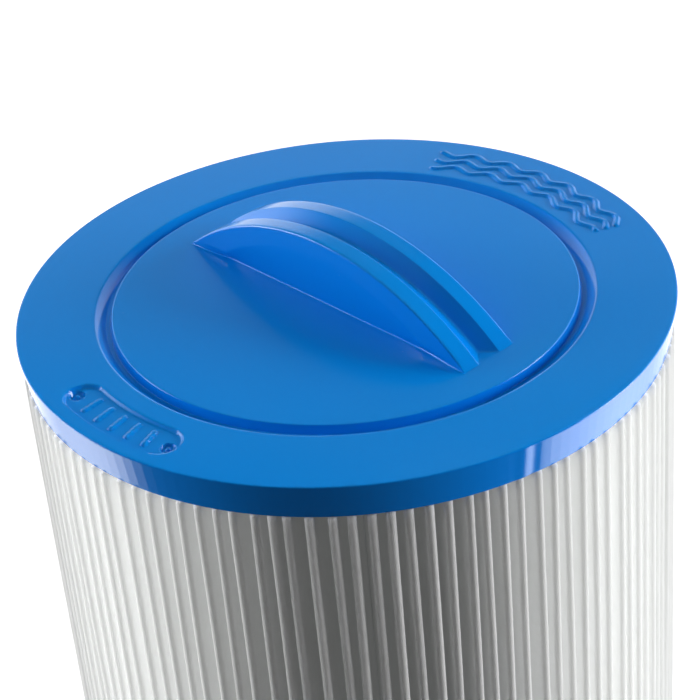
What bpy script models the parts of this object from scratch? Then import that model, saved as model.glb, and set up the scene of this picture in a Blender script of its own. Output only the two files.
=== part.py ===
"""Pleated spa filter cartridge with a half-moon handle and a coarse-threaded outlet.

Metres, +Z up.  The cartridge stands on its threaded spigot: the origin is on the axis
at the spigot's lower end, and the handle on the top end cap runs along X.
"""
import math

import bmesh
import bpy

MM = 0.001
INCH = 25.4 * MM

# ---- driving dimensions -------------------------------------------------------------
GAP = 0.3 * MM                   # clearance kept between touching pieces
MERGE = 0.01 * MM
SHARP_ANGLE = math.radians(35.0)

CAP_RADIUS = 3.0 * INCH - 0.2 * MM   # over the rim's upper edge, 6 in nominal
BODY_LENGTH = 8.25 * INCH            # over both end caps, without handle and spigot
SPIGOT_REACH = 27.0 * MM             # spigot below the bottom end cap

SKIRT_HEIGHT = 8.45 * MM
SKIRT_FOOT_RADIUS = 74.8 * MM        # the skirt tapers from the rim to this
SKIRT_INNER_RADIUS = 73.7 * MM
RIM_EDGE = 0.5 * MM                  # rounding of the rim's edge
RIM_EDGE_SHARE = 1.0 - math.sqrt(0.5)    # how far the rounding's middle is cut in
CAP_PLATE = 4.0 * MM
CAP_STEPS = 64

GROOVE_INNER_RADIUS = 53.9 * MM
GROOVE_OUTER_RADIUS = 57.7 * MM
GROOVE_DEPTH = 2.2 * MM
GROOVE_INNER_DRAFT = 0.7 * MM
GROOVE_FLOOR = 0.8 * MM
GROOVE_SLOPE_SHARE = 0.72            # depth left half-way up the rounded outer wall

HANDLE_HALF_LENGTH = 45.2 * MM
HANDLE_HEIGHT = 16.6 * MM            # its crest is a circular arc over that length
HANDLE_THICKNESS = 15.5 * MM
HANDLE_ROOT = 1.5 * MM               # how far the handle runs down into the cap plate
HANDLE_EDGE = 0.5 * MM
HANDLE_SPANS = 24
VEE_HALF_WIDTH = 3.35 * MM           # groove along the crest
VEE_DEPTH = 3.0 * MM
VEE_FLOOR_HALF_WIDTH = 0.4 * MM
VEE_OVERRUN = 1.0 * MM               # how far the groove's cutter stands over the crest
SCOOP_DEPTH = 1.1 * MM               # shallow finger recess in each face of the handle
SCOOP_HALF_LENGTH = 35.0 * MM
SCOOP_HEIGHT = 12.3 * MM

POCKET_RADIUS = 67.7 * MM            # arc-shaped pocket in the rim, facing -Y
POCKET_WIDTH = 9.0 * MM
POCKET_DEPTH = 0.8 * MM
POCKET_HALF_ANGLE = math.radians(11.5)
POCKET_SPANS = 8
POCKET_PIN_RADIUS = 1.3 * MM
POCKET_PIN_HEIGHT = 0.5 * MM

CORE_RADIUS = 27.5 * MM
CORE_WALL = 2.5 * MM
CORE_SECTIONS = ("core_lower", "core_middle", "core_upper")
CORE_STEPS = 32
LIP_HEIGHT = 3.0 * MM
LIP_WALL = 1.1 * MM
WINDOW_ROWS = 2
WINDOW_COLUMNS = 8
WINDOW_WIDTH = 12.0 * MM
WINDOW_BAR = 6.0 * MM                # solid ring between window rows and at the ends
WINDOW_OVERRUN = 3.0 * MM            # how far a window's cutter stands out of the wall

LOCATING_RING_WALL = 2.0 * MM        # ring on each end that centres the core
LOCATING_RING_HEIGHT = 5.0 * MM

POTTING_THICKNESS = 2.3 * MM
POTTING_STEPS = 48

PLEAT_COUNT = 115
PLEAT_OUTER_RADIUS = 73.3 * MM
PLEAT_INNER_RADIUS = 28.2 * MM
MEDIA_FOLD = 9.0 * MM                # radial thickness of the sheet where it turns

SEAM_THICKNESS = 0.8 * MM
SEAM_DEPTH = 9.0 * MM
SEAM_RADIUS = 66.5 * MM
SEAM_PLEAT = 32                      # the seam lies in the gap after this pleat

BORE_RADIUS = 19.0 * MM
THREAD_MAJOR_RADIUS = 24.9 * MM      # 1 1/2 in coarse cartridge thread
THREAD_DEPTH = 1.9 * MM
THREAD_PITCH = INCH / 5
THREAD_START = 1.2 * MM
THREAD_END = 22.5 * MM
THREAD_FADE = 2.5 * MM
THREAD_RINGS = 25
NECK_RADIUS = 25.6 * MM
FLANGE_RADIUS = 33.0 * MM
FLANGE_THICKNESS = 2.2 * MM
SPIGOT_STEPS = 32

# ---- levels worked out from them ----------------------------------------------------
BOTTOM_FACE = SPIGOT_REACH
TOP_FACE = BOTTOM_FACE + BODY_LENGTH
PLATE_TOP_INSIDE = TOP_FACE - CAP_PLATE
PLATE_BOTTOM_INSIDE = BOTTOM_FACE + CAP_PLATE
FLANGE_TOP = PLATE_BOTTOM_INSIDE + GAP + FLANGE_THICKNESS
CORE_BOTTOM = FLANGE_TOP + GAP
CORE_TOP = PLATE_TOP_INSIDE - GAP
MEDIA_BOTTOM = PLATE_BOTTOM_INSIDE + 2 * GAP + POTTING_THICKNESS
MEDIA_TOP = PLATE_TOP_INSIDE - 2 * GAP - POTTING_THICKNESS
CORE_INNER_RADIUS = CORE_RADIUS - CORE_WALL
LOCATING_RING_RADIUS = CORE_INNER_RADIUS - GAP

CAP_BLUE = (0.012, 0.165, 0.56)
SPIGOT_BLUE = (0.010, 0.140, 0.50)
CORE_WHITE = (0.78, 0.79, 0.80)
MEDIA_WHITE = (0.83, 0.84, 0.83)
POTTING_CREAM = (0.70, 0.66, 0.55)
SEAM_WHITE = (0.86, 0.85, 0.80)


# ---- helpers ------------------------------------------------------------------------
def clear_scene():
    for old in list(bpy.data.objects):
        bpy.data.objects.remove(old, do_unlink=True)


def new_collection(name):
    collection = bpy.data.collections.new(name)
    bpy.context.scene.collection.children.link(collection)
    return collection


def new_material(name, colour, roughness):
    material = bpy.data.materials.new(name)
    material.use_nodes = True
    shader = material.node_tree.nodes["Principled BSDF"]
    shader.inputs["Base Color"].default_value = (*colour, 1.0)
    shader.inputs["Roughness"].default_value = roughness
    shader.inputs["Metallic"].default_value = 0.0
    return material


def add_object(name, mesh, collection):
    obj = bpy.data.objects.new(name, mesh)
    collection.objects.link(obj)
    return obj


def as_cutter(obj):
    """Mark an operand of a Boolean: it is a guide and not a piece of the cartridge."""
    obj.hide_render = True
    obj.display_type = "WIRE"
    return obj


def evaluated_mesh(obj):
    bpy.context.view_layer.update()
    depsgraph = bpy.context.evaluated_depsgraph_get()
    return bpy.data.meshes.new_from_object(obj.evaluated_get(depsgraph))


def apply_modifiers(obj):
    """Keep the evaluated mesh, shaded smooth between its sharp edges."""
    mesh = evaluated_mesh(obj)
    obj.modifiers.clear()
    obj.data = mesh
    mesh.shade_smooth()
    mesh.set_sharp_from_angle(angle=SHARP_ANGLE)
    return obj


def combine(obj, operand, operation):
    modifier = obj.modifiers.new(operation.lower(), "BOOLEAN")
    modifier.operation = operation
    modifier.solver = "EXACT"
    modifier.object = operand


def turned(name, collection, profile, steps, closed):
    """Turn an (r, z) profile about Z.  It runs down its outer side, top to bottom."""
    mesh = bpy.data.meshes.new(name)
    points = [(radius, 0.0, level) for radius, level in profile]
    edges = [(i, i + 1) for i in range(len(points) - 1)]
    if closed:
        edges.append((len(points) - 1, 0))
    mesh.from_pydata(points, edges, [])
    obj = add_object(name, mesh, collection)
    screw = obj.modifiers.new("turn", "SCREW")
    screw.axis = "Z"
    screw.angle = 2 * math.pi
    screw.steps = steps
    screw.render_steps = steps
    screw.use_merge_vertices = True
    screw.merge_threshold = MERGE
    return obj


def plate(name, collection, outlines, thickness):
    """Fill flat outlines in XY and extrude them evenly about Z = 0."""
    curve = bpy.data.curves.new(name, "CURVE")
    curve.dimensions = "2D"
    curve.fill_mode = "BOTH"
    curve.extrude = thickness / 2
    for outline in outlines:
        spline = curve.splines.new("POLY")
        spline.points.add(len(outline) - 1)
        for point, (x, y) in zip(spline.points, outline):
            point.co = (x, y, 0.0, 1.0)
        spline.use_cyclic_u = True
    source = add_object(name + "_outline", curve, collection)
    mesh = evaluated_mesh(source)
    bpy.data.objects.remove(source, do_unlink=True)
    shape = bmesh.new()
    shape.from_mesh(mesh)
    bmesh.ops.remove_doubles(shape, verts=shape.verts, dist=MERGE / 10)
    bmesh.ops.recalc_face_normals(shape, faces=shape.faces)
    shape.to_mesh(mesh)
    shape.free()
    return add_object(name, mesh, collection)


def polar(radius, angle):
    return (radius * math.cos(angle), radius * math.sin(angle))


# ---- end caps -----------------------------------------------------------------------
def groove_profile():
    """Groove in an end face, as (r, depth) from the axis outwards."""
    floor_start = GROOVE_INNER_RADIUS + GROOVE_INNER_DRAFT
    floor_end = floor_start + GROOVE_FLOOR
    slope_middle = (floor_end + GROOVE_OUTER_RADIUS) / 2
    return [
        (GROOVE_INNER_RADIUS, 0.0),
        (floor_start, GROOVE_DEPTH),
        (floor_end, GROOVE_DEPTH),
        (slope_middle, GROOVE_DEPTH * GROOVE_SLOPE_SHARE),
        (GROOVE_OUTER_RADIUS, 0.0),
    ]


def rim_profile():
    """Rim and skirt as (r, depth) from the end face over the outside to the inside."""
    return [
        (CAP_RADIUS - RIM_EDGE, 0.0),
        (CAP_RADIUS - RIM_EDGE_SHARE * RIM_EDGE, RIM_EDGE_SHARE * RIM_EDGE),
        (CAP_RADIUS, RIM_EDGE),
        (SKIRT_FOOT_RADIUS, SKIRT_HEIGHT),
        (SKIRT_INNER_RADIUS, SKIRT_HEIGHT),
        (SKIRT_INNER_RADIUS, CAP_PLATE),
    ]


def arch_radius(half_length, height):
    return (half_length ** 2 + height ** 2) / (2 * height)


def arch_outline(half_length, height, root):
    """Half-moon outline in XY under a circular arc, with a straight root below it."""
    radius = arch_radius(half_length, height)
    half_turn = math.asin(half_length / radius)
    outline = []
    for i in range(HANDLE_SPANS + 1):
        turn = half_turn * (1.0 - 2.0 * i / HANDLE_SPANS)
        rise = radius * math.cos(turn) - (radius - height)
        outline.append((radius * math.sin(turn), rise))
    outline.append((-half_length, -root))
    outline.append((half_length, -root))
    return outline


def upright_arch(name, collection, outline, thickness, y):
    """A half-moon plate standing on the top end face, facing +-Y."""
    obj = plate(name, collection, [outline], thickness)
    obj.rotation_euler = (math.pi / 2, 0.0, 0.0)
    obj.location = (0.0, y, TOP_FACE)
    return as_cutter(obj)


def crest_groove(collection):
    """V-section bar that follows the crest's arc, to be cut out of the handle."""
    radius = arch_radius(HANDLE_HALF_LENGTH, HANDLE_HEIGHT)
    half_turn = 1.12 * math.asin(HANDLE_HALF_LENGTH / radius)
    flare = (VEE_HALF_WIDTH - VEE_FLOOR_HALF_WIDTH) / VEE_DEPTH
    upper = VEE_HALF_WIDTH + flare * VEE_OVERRUN
    section = [(-upper, VEE_OVERRUN), (-VEE_FLOOR_HALF_WIDTH, -VEE_DEPTH),
               (VEE_FLOOR_HALF_WIDTH, -VEE_DEPTH), (upper, VEE_OVERRUN)]
    shape = bmesh.new()
    rows = []
    for i in range(HANDLE_SPANS + 1):
        turn = half_turn * (2.0 * i / HANDLE_SPANS - 1.0)
        crest = TOP_FACE + radius * math.cos(turn) - (radius - HANDLE_HEIGHT)
        x = radius * math.sin(turn)
        rows.append([shape.verts.new((x, y, crest + rise)) for y, rise in section])
    for before, after in zip(rows, rows[1:]):
        for j in range(4):
            k = (j + 1) % 4
            shape.faces.new((before[j], after[j], after[k], before[k]))
    shape.faces.new(rows[0])
    shape.faces.new(reversed(rows[-1]))
    bmesh.ops.recalc_face_normals(shape, faces=shape.faces)
    mesh = bpy.data.meshes.new("handle_groove")
    shape.to_mesh(mesh)
    shape.free()
    return as_cutter(add_object("handle_groove", mesh, collection))


def add_handle(cap, cutters):
    """Half-moon grip with a V-groove along its crest, moulded in one with the cap."""
    outline = arch_outline(HANDLE_HALF_LENGTH, HANDLE_HEIGHT, HANDLE_ROOT)
    handle = upright_arch("handle_body", cutters, outline, HANDLE_THICKNESS, 0.0)
    bevel = handle.modifiers.new("rounded_edges", "BEVEL")
    bevel.width = HANDLE_EDGE
    bevel.segments = 2
    bevel.limit_method = "ANGLE"
    bevel.angle_limit = SHARP_ANGLE
    combine(handle, crest_groove(cutters), "DIFFERENCE")
    scoop_outline = arch_outline(SCOOP_HALF_LENGTH, SCOOP_HEIGHT, 2 * HANDLE_ROOT)
    for side, label in ((-1, "near"), (1, "far")):
        scoop = upright_arch(f"handle_scoop_{label}", cutters, scoop_outline,
                             2 * SCOOP_DEPTH, side * HANDLE_THICKNESS / 2)
        combine(handle, scoop, "DIFFERENCE")
    combine(cap, handle, "UNION")


def pocket_outline():
    """Arc-shaped slot with round ends, centred on -Y."""
    half_width = POCKET_WIDTH / 2
    middle = -math.pi / 2
    outline = []
    for side in (1, -1):
        end = middle + side * POCKET_HALF_ANGLE
        for i in range(POCKET_SPANS):
            sweep = -side * POCKET_HALF_ANGLE + side * 2 * POCKET_HALF_ANGLE * i / POCKET_SPANS
            outline.append(polar(POCKET_RADIUS + side * half_width, middle + sweep))
        centre_x, centre_y = polar(POCKET_RADIUS, end)
        for i in range(POCKET_SPANS):
            turn = end + (0.0 if side > 0 else math.pi) + math.pi * i / POCKET_SPANS
            offset_x, offset_y = polar(half_width, turn)
            outline.append((centre_x + offset_x, centre_y + offset_y))
    return outline


def add_pocket(cap, cutters):
    """Shallow pocket in the rim for a size mark, with a mould pin mark at each end."""
    slot = plate("pocket_slot", cutters, [pocket_outline()], 2 * POCKET_DEPTH)
    slot.location = (0.0, 0.0, TOP_FACE)
    combine(cap, as_cutter(slot), "DIFFERENCE")
    for side, label in ((-1, "left"), (1, "right")):
        x, y = polar(POCKET_RADIUS, -math.pi / 2 + side * POCKET_HALF_ANGLE)
        mesh = bpy.data.meshes.new(f"pocket_pin_{label}")
        shape = bmesh.new()
        bmesh.ops.create_cone(shape, cap_ends=True, segments=12,
                              radius1=POCKET_PIN_RADIUS, radius2=POCKET_PIN_RADIUS,
                              depth=2 * POCKET_PIN_HEIGHT)
        shape.to_mesh(mesh)
        shape.free()
        pin = add_object(f"pocket_pin_{label}", mesh, cutters)
        pin.location = (x, y, TOP_FACE - POCKET_DEPTH)
        combine(cap, as_cutter(pin), "UNION")


def make_top_end_cap(parts, cutters, material):
    """Cap plate, rim skirt, circular groove, handle and core-locating ring in one."""
    ring_foot = CAP_PLATE + LOCATING_RING_HEIGHT
    ring_inner = LOCATING_RING_RADIUS - LOCATING_RING_WALL
    inside = [
        (LOCATING_RING_RADIUS, CAP_PLATE),
        (LOCATING_RING_RADIUS, ring_foot),
        (ring_inner, ring_foot),
        (ring_inner, CAP_PLATE),
        (0.0, CAP_PLATE),
    ]
    depths = [(0.0, 0.0)] + groove_profile() + rim_profile() + inside
    profile = [(radius, TOP_FACE - depth) for radius, depth in depths]
    cap = turned("top_end_cap", parts, profile, CAP_STEPS, closed=False)
    add_handle(cap, cutters)
    add_pocket(cap, cutters)
    apply_modifiers(cap)
    cap.data.materials.append(material)


def make_bottom_end_cap(parts, material):
    """The same rim, skirt and groove facing down, with a hole for the spigot."""
    hole = NECK_RADIUS + GAP
    depths = [(hole, 0.0)] + groove_profile() + rim_profile() + [(hole, CAP_PLATE)]
    profile = [(radius, BOTTOM_FACE + depth) for radius, depth in reversed(depths)]
    cap = turned("bottom_end_cap", parts, profile, CAP_STEPS, closed=True)
    apply_modifiers(cap)
    cap.data.materials.append(material)


# ---- threaded spigot ----------------------------------------------------------------
def thread_height(x, y, level):
    """Share of the full thread depth at a point on the spigot's outside."""
    turns = math.atan2(y, x) / (2 * math.pi)
    phase = (level / THREAD_PITCH - turns) % 1.0
    crest = 0.5 + 0.5 * math.cos(2 * math.pi * phase)
    start = (level - THREAD_START) / THREAD_FADE
    end = (THREAD_END - level) / THREAD_FADE
    fade = max(0.0, min(1.0, start, end))
    return crest * fade


def make_threaded_spigot(parts, material):
    """Outlet tube: locating ring, glued flange, neck and a coarse external thread."""
    minor_radius = THREAD_MAJOR_RADIUS - THREAD_DEPTH
    ring_top = FLANGE_TOP + LOCATING_RING_HEIGHT
    thread_span = THREAD_END - THREAD_START
    profile = [
        (BORE_RADIUS, ring_top),
        (LOCATING_RING_RADIUS, ring_top),
        (LOCATING_RING_RADIUS, FLANGE_TOP),
        (FLANGE_RADIUS, FLANGE_TOP),
        (FLANGE_RADIUS, PLATE_BOTTOM_INSIDE + GAP),
        (NECK_RADIUS, PLATE_BOTTOM_INSIDE + GAP),
        (NECK_RADIUS, THREAD_END + 2 * THREAD_DEPTH),
    ]
    for i in range(THREAD_RINGS + 1):
        profile.append((minor_radius, THREAD_END - thread_span * i / THREAD_RINGS))
    profile.append((minor_radius - THREAD_START / 2, 0.0))
    profile.append((BORE_RADIUS, 0.0))
    spigot = turned("threaded_spigot", parts, profile, SPIGOT_STEPS, closed=True)
    apply_modifiers(spigot)
    for vertex in spigot.data.vertices:
        x, y, level = vertex.co
        radius = math.hypot(x, y)
        on_thread = THREAD_START - MERGE < level < THREAD_END + MERGE
        if on_thread and radius > BORE_RADIUS + MERGE:
            raised = minor_radius + THREAD_DEPTH * thread_height(x, y, level)
            vertex.co = (x * raised / radius, y * raised / radius, level)
    spigot.data.materials.append(material)


# ---- core ---------------------------------------------------------------------------
def core_section_profile(low, high, socket, lip):
    """Tube wall with a socket at its lower end and a lip at its upper end."""
    if lip:
        lip_radius = CORE_INNER_RADIUS + LIP_WALL
        profile = [
            (CORE_INNER_RADIUS, high + LIP_HEIGHT),
            (lip_radius, high + LIP_HEIGHT),
            (lip_radius, high),
            (CORE_RADIUS, high),
        ]
    else:
        profile = [(CORE_INNER_RADIUS, high), (CORE_RADIUS, high)]
    profile.append((CORE_RADIUS, low))
    if socket:
        socket_radius = CORE_INNER_RADIUS + LIP_WALL + GAP
        socket_top = low + LIP_HEIGHT + GAP
        profile.append((socket_radius, low))
        profile.append((socket_radius, socket_top))
        profile.append((CORE_INNER_RADIUS, socket_top))
    else:
        profile.append((CORE_INNER_RADIUS, low))
    return profile


def window_star_outline():
    """Star whose arms cut one row of windows through the core's wall."""
    half_width = WINDOW_WIDTH / 2
    arm = CORE_RADIUS + WINDOW_OVERRUN
    step = 2 * math.pi / WINDOW_COLUMNS
    notch = half_width / math.sin(step / 2)
    reach = math.hypot(arm, half_width)
    spread = math.atan2(half_width, arm)
    outline = []
    for i in range(WINDOW_COLUMNS):
        outline.append(polar(reach, i * step - spread))
        outline.append(polar(reach, i * step + spread))
        outline.append(polar(notch, (i + 0.5) * step))
    return outline


def make_core(parts, cutters, material):
    """Perforated core in stacked sections, each plugged into the one below it."""
    count = len(CORE_SECTIONS)
    pitch = (CORE_TOP - CORE_BOTTOM + GAP) / count
    for index, name in enumerate(CORE_SECTIONS):
        low = CORE_BOTTOM + index * pitch
        high = low + pitch - GAP
        socket = index > 0
        lip = index < count - 1
        profile = core_section_profile(low, high, socket, lip)
        section = turned(name, parts, profile, CORE_STEPS, closed=True)
        window_height = (high - low - (WINDOW_ROWS + 1) * WINDOW_BAR) / WINDOW_ROWS
        for row in range(WINDOW_ROWS):
            star = plate(f"{name}_windows_{row}", cutters, [window_star_outline()],
                         window_height)
            bottom = low + WINDOW_BAR + row * (window_height + WINDOW_BAR)
            star.location = (0.0, 0.0, bottom + window_height / 2)
            combine(section, as_cutter(star), "DIFFERENCE")
        apply_modifiers(section)
        section.data.materials.append(material)


# ---- pleats, seam and potting -------------------------------------------------------
def pleat_outlines():
    """Outer and inner outline of the folded sheet, one fold and one valley a pleat."""
    step = 2 * math.pi / PLEAT_COUNT
    outer = []
    inner = []
    for i in range(PLEAT_COUNT):
        fold = i * step
        valley = fold + step / 2
        outer.append(polar(PLEAT_OUTER_RADIUS, fold))
        outer.append(polar(PLEAT_INNER_RADIUS + MEDIA_FOLD, valley))
        inner.append(polar(PLEAT_OUTER_RADIUS - MEDIA_FOLD, fold))
        inner.append(polar(PLEAT_INNER_RADIUS, valley))
    return [outer, inner]


def make_pleated_media(parts, material):
    """One sheet of spunbond polyester, folded all the way round the core."""
    media = plate("pleated_media", parts, pleat_outlines(), MEDIA_TOP - MEDIA_BOTTOM)
    media.location = (0.0, 0.0, (MEDIA_TOP + MEDIA_BOTTOM) / 2)
    media.data.materials.append(material)


def make_media_seam(parts, material):
    """Hot-melt strip in one gap between pleats, where the sheet's two ends meet."""
    angle = (SEAM_PLEAT + 0.5) * 2 * math.pi / PLEAT_COUNT
    x, y = polar(SEAM_RADIUS, angle)
    size = (SEAM_DEPTH, SEAM_THICKNESS, MEDIA_TOP - MEDIA_BOTTOM)
    bpy.ops.mesh.primitive_cube_add(size=1.0)
    seam = bpy.context.active_object
    seam.name = "media_seam"
    for vertex in seam.data.vertices:
        vertex.co = [value * length for value, length in zip(vertex.co, size)]
    seam.rotation_euler = (0.0, 0.0, angle)
    seam.location = (x, y, (MEDIA_TOP + MEDIA_BOTTOM) / 2)
    for old in seam.users_collection:
        old.objects.unlink(seam)
    parts.objects.link(seam)
    seam.data.materials.append(material)


def make_potting(name, parts, inner_radius, low, material):
    """Ring of cast polyurethane that bonds the pleats to an end cap."""
    outer_radius = SKIRT_INNER_RADIUS - GAP
    high = low + POTTING_THICKNESS
    profile = [
        (inner_radius, high),
        (outer_radius, high),
        (outer_radius, low),
        (inner_radius, low),
    ]
    potting = turned(name, parts, profile, POTTING_STEPS, closed=True)
    apply_modifiers(potting)
    potting.data.materials.append(material)


def main():
    clear_scene()
    parts = new_collection("filter_cartridge")
    cutters = new_collection("cutters")

    cap_blue = new_material("cap_blue_abs", CAP_BLUE, 0.28)
    bottom_blue = new_material("bottom_cap_blue_abs", CAP_BLUE, 0.30)
    spigot_blue = new_material("spigot_blue_abs", SPIGOT_BLUE, 0.34)
    media_white = new_material("media_white_spunbond", MEDIA_WHITE, 0.90)
    seam_white = new_material("seam_hot_melt", SEAM_WHITE, 0.45)
    top_cream = new_material("top_potting_polyurethane", POTTING_CREAM, 0.50)
    bottom_cream = new_material("bottom_potting_polyurethane", POTTING_CREAM, 0.50)
    core_white = new_material("core_white_polypropylene", CORE_WHITE, 0.45)

    make_top_end_cap(parts, cutters, cap_blue)
    make_potting("top_potting", parts, CORE_RADIUS + GAP,
                 PLATE_TOP_INSIDE - GAP - POTTING_THICKNESS, top_cream)
    make_pleated_media(parts, media_white)
    make_media_seam(parts, seam_white)
    make_core(parts, cutters, core_white)
    make_potting("bottom_potting", parts, FLANGE_RADIUS + GAP,
                 PLATE_BOTTOM_INSIDE + GAP, bottom_cream)
    make_bottom_end_cap(parts, bottom_blue)
    make_threaded_spigot(parts, spigot_blue)


main()
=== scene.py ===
import math
import random

import bmesh
import bpy
import numpy as np
from mathutils import Euler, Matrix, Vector
from mathutils.geometry import delaunay_2d_cdt


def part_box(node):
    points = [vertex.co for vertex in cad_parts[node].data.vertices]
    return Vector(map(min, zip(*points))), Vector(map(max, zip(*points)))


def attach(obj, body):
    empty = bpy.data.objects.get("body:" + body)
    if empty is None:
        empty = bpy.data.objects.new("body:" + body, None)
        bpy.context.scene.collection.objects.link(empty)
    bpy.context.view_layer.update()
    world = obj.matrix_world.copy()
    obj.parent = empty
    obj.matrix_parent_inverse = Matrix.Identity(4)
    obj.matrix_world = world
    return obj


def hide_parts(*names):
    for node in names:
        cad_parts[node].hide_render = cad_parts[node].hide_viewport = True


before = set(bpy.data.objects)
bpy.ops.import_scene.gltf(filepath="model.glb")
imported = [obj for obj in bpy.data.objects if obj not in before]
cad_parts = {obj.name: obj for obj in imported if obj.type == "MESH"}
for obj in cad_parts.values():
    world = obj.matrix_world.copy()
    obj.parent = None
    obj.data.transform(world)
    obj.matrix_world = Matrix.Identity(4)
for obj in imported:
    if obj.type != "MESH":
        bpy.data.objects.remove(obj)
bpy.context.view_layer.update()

MM = 0.001
ROOT = "root"

# ---- sizes that follow the frame ----------------------------------------------------
TOP_CAP_LOW, TOP_CAP_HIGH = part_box("top_end_cap")
BOTTOM_CAP_LOW, BOTTOM_CAP_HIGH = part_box("bottom_end_cap")
MEDIA_LOW, MEDIA_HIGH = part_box("pleated_media")
CORE_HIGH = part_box("core_lower")[1]
SPIGOT_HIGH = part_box("threaded_spigot")[1]

HANDLE_HEIGHT = 16.6 * MM
CAP_RADIUS = TOP_CAP_HIGH[0]
TOP_FACE = TOP_CAP_HIGH[2] - HANDLE_HEIGHT
BOTTOM_FACE = BOTTOM_CAP_LOW[2]
SKIRT_HEIGHT = BOTTOM_CAP_HIGH[2] - BOTTOM_CAP_LOW[2]
CORE_RADIUS = CORE_HIGH[0]

# ---- end caps -----------------------------------------------------------------------
SKIRT_FOOT_RADIUS = 74.8 * MM
SKIRT_INNER_RADIUS = 73.75 * MM
CAP_PLATE = 4.0 * MM
LOCATING_RING = (24.7 * MM, 22.7 * MM)
LOCATING_RING_FOOT = TOP_FACE - TOP_CAP_LOW[2]
GROOVE_INNER = 53.9 * MM
GROOVE_OUTER = 57.8 * MM
GROOVE_DEPTH = 2.2 * MM
RING_INNER = 58.5 * MM
RING_OUTER = 75.2 * MM
RING_STEP = 0.27 * MM
FINE_LAPS = 4
CORNER_STEPS = 5
SKIRT_FACETS = 180
GATE_ANGLE = math.radians(-14.2)
GATE_REACH = 1.3 * MM
GATE_SWELL = 0.10 * MM
GATE_HALF_ANGLE = 0.06

# ---- raised and sunk marks in the top rim -------------------------------------------
MARK_RAMP = 0.3 * MM
WAVE_MIDDLE = math.radians(89.5)
WAVE_HALF_ANGLE = math.radians(25.0)
WAVE_RADII = (62.2 * MM, 65.7 * MM, 69.2 * MM)
WAVE_AMPLITUDE = 1.0 * MM
WAVE_LENGTH = 9.6 * MM
WAVE_STROKE = 1.15 * MM
WAVE_RISE = 0.5 * MM
POCKET_MIDDLE = math.radians(-90.0)
POCKET_HALF_ANGLE = math.radians(11.0)
POCKET_RADIUS = 67.7 * MM
POCKET_HALF_WIDTH = 4.5 * MM
POCKET_DEPTH = 0.8 * MM
POCKET_REACH = 0.28
PIN_ANGLE = math.radians(13.0)
PIN_RADIUS = 68.4 * MM
PIN_SIZE = 1.6 * MM
PIN_NUB = 0.6 * MM
PIN_DEPTH = 0.7 * MM
TICK_COUNT = 5
TICK_STEP = math.radians(4.1)
TICK_HALF_LENGTH = 2.3 * MM
TICK_STROKE = 1.2 * MM
TICK_RISE = 0.4 * MM
TICK_LEAN = math.radians(12.0)

# ---- handle -------------------------------------------------------------------------
HANDLE_HALF_LENGTH = 45.2 * MM
HANDLE_SIDE = 7.75 * MM
HANDLE_DRAFT = math.tan(math.radians(1.0))
VEE_HALF_WIDTH = 3.35 * MM
VEE_DEPTH = 3.1 * MM
VEE_EDGE = 0.3 * MM
VEE_ROUND = 0.9 * MM
HANDLE_STATIONS = 170
FOOT_FILLET = 0.28 * MM
CREST_EDGE = 0.5 * MM
SCOOP_HALF_LENGTH = 35.0 * MM
SCOOP_HEIGHT = 12.3 * MM
SCOOP_DEPTH = 1.1 * MM
SCOOP_TIP = 43.5 * MM
SCOOP_TIP_HEIGHT = 2.0 * MM
WALL_STEPS = 24

# ---- pleats -------------------------------------------------------------------------
PLEAT_COUNT = 115
PLEAT_RADIUS = 75.3 * MM
PLEAT_END_RADIUS = 73.2 * MM
PLEAT_FLARE = 0.35 * MM
PLEAT_ROOT_RADIUS = CORE_RADIUS + 0.9 * MM
TIP_FOLD = 0.78 * MM
ROOT_FOLD = 0.32 * MM
SHEET = 0.45 * MM
WALL_COLUMNS = 3
TIP_COLUMNS = 5
ROOT_COLUMNS = 2
PLEAT_SEED = 11
TIP_SCATTER = 0.3 * MM
TIP_WANDER = 0.25 * MM
ROOT_SCATTER = math.radians(0.12)
RADIUS_SCATTER = 0.2 * MM
RADIUS_WANDER = 0.12 * MM
BOW = 0.5 * MM

# ---- spigot -------------------------------------------------------------------------
BORE_RADIUS = 19.0 * MM
THREAD_CREST = 24.9 * MM
THREAD_DEPTH = 1.9 * MM
THREAD_PITCH = 5.08 * MM
THREAD_START = 1.2 * MM
THREAD_END = 22.5 * MM
THREAD_RUNOUT = 2.4 * MM
THREAD_ROW = 0.25 * MM
LOCATING_RING_RISE = 5.0 * MM
NECK_RADIUS = 25.6 * MM

# ---- camera -------------------------------------------------------------------------
VIEW_AZIMUTH = math.radians(48.45)
VIEW_ELEVATION = math.radians(31.01)
VIEW_DISTANCE = 0.4932
VIEW_PITCH = math.radians(-1.59)
VIEW_ROLL = math.radians(-5.16)
VIEW_LENS = 109.95

# ---- colours and studio light -------------------------------------------------------
CAP_BLUE = (0.0, 0.26, 0.785)
# Painted shade: faces that turn sideways get this deeper, more saturated blue, the tint of blue plastic in
# shade.
CAP_SHADED_SIDE_BLUE = (0.0, 0.225, 0.82)
SPIGOT_BLUE = (0.0, 0.22, 0.75)
RIGHT_WALL_EDGE = (math.radians(70), math.radians(90))
LEFT_WALL_EDGE = (math.radians(82), math.radians(102))
BACK_EDGE = (math.radians(100), math.radians(150))
WALL_TOP = (math.radians(12), math.radians(36))
WALL_LIGHT = 3.9
BACK_LIGHT = 1.3
LOW_BACK_LIGHT = 1.8
CEILING_EDGE = (math.radians(50), math.radians(75))
CEILING_LIGHT = 0.2
FRONT_LIGHT = 0.04
LOW_WALL_LEVEL = math.radians(-25)
LEFT_LOW_SHIFT = math.radians(6)
RIGHT_LOW_SHIFT = math.radians(-6)
PANEL_EDGE = math.radians(4)
# Soft boxes: azimuth from the camera, half width, lower and upper edge, light.
PANELS = (
    (math.radians(-99), math.radians(11), math.radians(-4), math.radians(13), 8.0),
    (math.radians(88), math.radians(11), math.radians(-10), math.radians(25), 11.5),
)
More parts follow.
